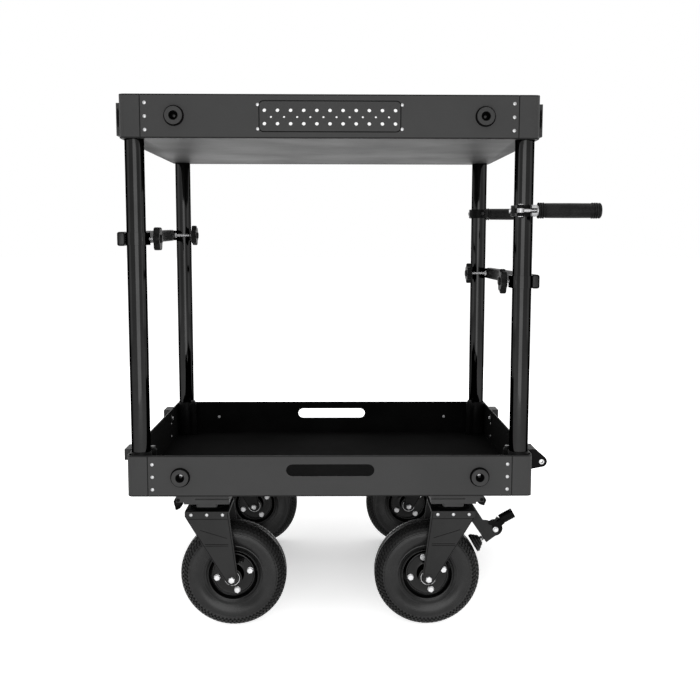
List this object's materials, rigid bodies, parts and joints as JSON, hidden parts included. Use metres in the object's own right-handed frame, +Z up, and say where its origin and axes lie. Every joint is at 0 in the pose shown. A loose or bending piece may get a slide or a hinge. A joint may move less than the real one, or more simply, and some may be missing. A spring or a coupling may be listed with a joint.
{
  "type": "camera equipment cart",
  "caption": "Two deep metal trays on four round posts, rolling on swivel casters with air tyres, with folding push handles and side rails.",
  "frame": {"origin": "on the floor, at the middle of the whole object's box", "axes": "+Z up; +X to the right, towards the handles; +Y to the rear, away from the accessory plate"},
  "size_m": [0.9556, 0.7122, 1.078],
  "materials": {
    "tray_paint": "satin dark grey powder coat",
    "receiver_paint": "satin dark grey powder coat",
    "gloss_paint": "gloss black",
    "dark_aluminium": "black anodised",
    "caster_paint": "satin black",
    "rail_paint": "satin dark grey",
    "black_steel": "black",
    "rim_paint": "gloss black",
    "zinc": "bright zinc plate",
    "tyre_rubber": "matt black rubber",
    "brake_rubber": "matt black",
    "grip_rubber": "ribbed matt black",
    "knob_plastic": "matt black",
    "bare_aluminium": "satin"
  },
  "bodies": {
    "cart": {"top_tray_pan": "tray_paint", "bottom_tray_pan": "tray_paint", "top_tray_left_end": "tray_paint", "top_tray_right_end": "tray_paint", "bottom_tray_left_end": "tray_paint", "bottom_tray_right_end": "tray_paint", "top_left_receiver": "receiver_paint", "top_right_receiver": "receiver_paint", "bottom_left_receiver": "receiver_paint", "bottom_right_receiver": "receiver_paint", "front_left_post": "gloss_paint", "rear_left_post": "gloss_paint", "front_right_post": "gloss_paint", "rear_right_post": "gloss_paint", "accessory_plate": "dark_aluminium", "eye_lug": "caster_paint", "front_left_caster_mount": "rail_paint", "rear_left_caster_mount": "rail_paint", "front_right_caster_mount": "rail_paint", "rear_right_caster_mount": "rail_paint", "front_handle_clamp": "bare_aluminium", "rear_handle_clamp": "bare_aluminium"},
    "front_left_swivel": {"front_left_fork": "caster_paint", "front_left_axle": "zinc"},
    "rear_left_swivel": {"rear_left_fork": "caster_paint", "rear_left_axle": "zinc"},
    "front_right_swivel": {"front_right_fork": "caster_paint", "front_right_axle": "zinc"},
    "rear_right_swivel": {"rear_right_fork": "caster_paint", "rear_right_axle": "zinc"},
    "front_left_wheel": {"front_left_rim": "rim_paint", "front_left_tyre": "tyre_rubber"},
    "rear_left_wheel": {"rear_left_rim": "rim_paint", "rear_left_tyre": "tyre_rubber"},
    "front_right_wheel": {"front_right_rim": "rim_paint", "front_right_tyre": "tyre_rubber"},
    "rear_right_wheel": {"rear_right_rim": "rim_paint", "rear_right_tyre": "tyre_rubber"},
    "front_left_release": {"front_left_latch": "black_steel"},
    "rear_left_release": {"rear_left_latch": "black_steel"},
    "front_right_release": {"front_right_latch": "black_steel"},
    "rear_right_release": {"rear_right_latch": "black_steel"},
    "front_pedal": {"front_right_brake_lever": "black_steel"},
    "rear_pedal": {"rear_right_brake_lever": "black_steel"},
    "front_shoe": {"front_right_brake_shoe": "brake_rubber"},
    "rear_shoe": {"rear_right_brake_shoe": "brake_rubber"},
    "left_rail": {"left_side_bar": "black_steel", "left_front_strap": "black_steel", "left_rear_strap": "black_steel"},
    "right_rail": {"right_side_bar": "black_steel", "right_front_strap": "black_steel", "right_rear_strap": "black_steel"},
    "left_front_screw": {"left_front_knob": "knob_plastic"},
    "left_rear_screw": {"left_rear_knob": "knob_plastic"},
    "right_front_screw": {"right_front_knob": "knob_plastic"},
    "right_rear_screw": {"right_rear_knob": "knob_plastic"},
    "front_handle": {"front_handle_core": "bare_aluminium", "front_handle_grip": "grip_rubber"},
    "rear_handle": {"rear_handle_core": "bare_aluminium", "rear_handle_grip": "grip_rubber"}
  },
  "joints": [
    {"name": "front_left_kingpin", "type": "hinge", "parent": "cart", "child": "front_left_swivel", "pos_m": [-0.3003, -0.273, 0.252], "axis": [0, 0, 1], "continuous": true},
    {"name": "rear_left_kingpin", "type": "hinge", "parent": "cart", "child": "rear_left_swivel", "pos_m": [-0.3003, 0.273, 0.252], "axis": [0, 0, 1], "continuous": true},
    {"name": "front_right_kingpin", "type": "hinge", "parent": "cart", "child": "front_right_swivel", "pos_m": [0.2003, -0.273, 0.252], "axis": [0, 0, 1], "continuous": true},
    {"name": "rear_right_kingpin", "type": "hinge", "parent": "cart", "child": "rear_right_swivel", "pos_m": [0.2003, 0.273, 0.252], "axis": [0, 0, 1], "continuous": true},
    {"name": "front_left_spin", "type": "hinge", "parent": "front_left_swivel", "child": "front_left_wheel", "pos_m": [-0.2511, -0.273, 0.1095], "axis": [0, 1, 0], "continuous": true},
    {"name": "rear_left_spin", "type": "hinge", "parent": "rear_left_swivel", "child": "rear_left_wheel", "pos_m": [-0.2511, 0.273, 0.1095], "axis": [0, 1, 0], "continuous": true},
    {"name": "front_right_spin", "type": "hinge", "parent": "front_right_swivel", "child": "front_right_wheel", "pos_m": [0.1511, -0.273, 0.1095], "axis": [0, 1, 0], "continuous": true},
    {"name": "rear_right_spin", "type": "hinge", "parent": "rear_right_swivel", "child": "rear_right_wheel", "pos_m": [0.1511, 0.273, 0.1095], "axis": [0, 1, 0], "continuous": true},
    {"name": "front_left_latch_lift", "type": "hinge", "parent": "cart", "child": "front_left_release", "pos_m": [-0.3573, -0.3087, 0.2757], "axis": [0, 1, 0], "range_deg": [0, 60]},
    {"name": "rear_left_latch_lift", "type": "hinge", "parent": "cart", "child": "rear_left_release", "pos_m": [-0.3573, 0.3087, 0.2757], "axis": [0, 1, 0], "range_deg": [0, 60]},
    {"name": "front_right_latch_lift", "type": "hinge", "parent": "cart", "child": "front_right_release", "pos_m": [0.2573, -0.3087, 0.2757], "axis": [0, -1, 0], "range_deg": [0, 60]},
    {"name": "rear_right_latch_lift", "type": "hinge", "parent": "cart", "child": "rear_right_release", "pos_m": [0.2573, 0.3087, 0.2757], "axis": [0, -1, 0], "range_deg": [0, 60]},
    {"name": "front_pedal_press", "type": "hinge", "parent": "front_right_swivel", "child": "front_pedal", "pos_m": [0.2932, -0.273, 0.2013], "axis": [0, 1, 0], "range_deg": [0, 60]},
    {"name": "rear_pedal_press", "type": "hinge", "parent": "rear_right_swivel", "child": "rear_pedal", "pos_m": [0.2932, 0.273, 0.2013], "axis": [0, 1, 0], "range_deg": [0, 60]},
    {"name": "front_shoe_press", "type": "slide", "parent": "front_right_swivel", "child": "front_shoe", "axis": [-0.8572, 0, -0.515], "range_m": [0, 0.003]},
    {"name": "rear_shoe_press", "type": "slide", "parent": "rear_right_swivel", "child": "rear_shoe", "axis": [-0.8572, 0, -0.515], "range_m": [0, 0.003]},
    {"name": "left_rail_height", "type": "slide", "parent": "cart", "child": "left_rail", "axis": [0, 0, 1], "range_m": [-0.38, 0.15]},
    {"name": "right_rail_height", "type": "slide", "parent": "cart", "child": "right_rail", "axis": [0, 0, 1], "range_m": [-0.3, 0.1]},
    {"name": "left_front_knob_turn", "type": "hinge", "parent": "left_rail", "child": "left_front_screw", "pos_m": [-0.4334, -0.2762, 0.8004], "axis": [1, 0, 0], "continuous": true},
    {"name": "left_rear_knob_turn", "type": "hinge", "parent": "left_rail", "child": "left_rear_screw", "pos_m": [-0.4334, 0.2762, 0.8094], "axis": [1, 0, 0], "continuous": true},
    {"name": "right_front_knob_turn", "type": "hinge", "parent": "right_rail", "child": "right_front_screw", "pos_m": [0.3334, -0.2762, 0.716], "axis": [1, 0, 0], "continuous": true},
    {"name": "right_rear_knob_turn", "type": "hinge", "parent": "right_rail", "child": "right_rear_screw", "pos_m": [0.3334, 0.2762, 0.7133], "axis": [1, 0, 0], "continuous": true},
    {"name": "front_handle_fold", "type": "hinge", "parent": "cart", "child": "front_handle", "pos_m": [0.321, -0.3406, 0.8562], "axis": [0, 0, -1], "range_deg": [0, 180]},
    {"name": "rear_handle_fold", "type": "hinge", "parent": "cart", "child": "rear_handle", "pos_m": [0.321, 0.3406, 0.8663], "axis": [0, 0, 1], "range_deg": [0, 180]}
  ],
  "couplings": [
    {"joint": "front_shoe_press", "follows": "front_pedal_press", "m_per_rad": 0.00286},
    {"joint": "rear_shoe_press", "follows": "rear_pedal_press", "m_per_rad": 0.00286}
  ]
}
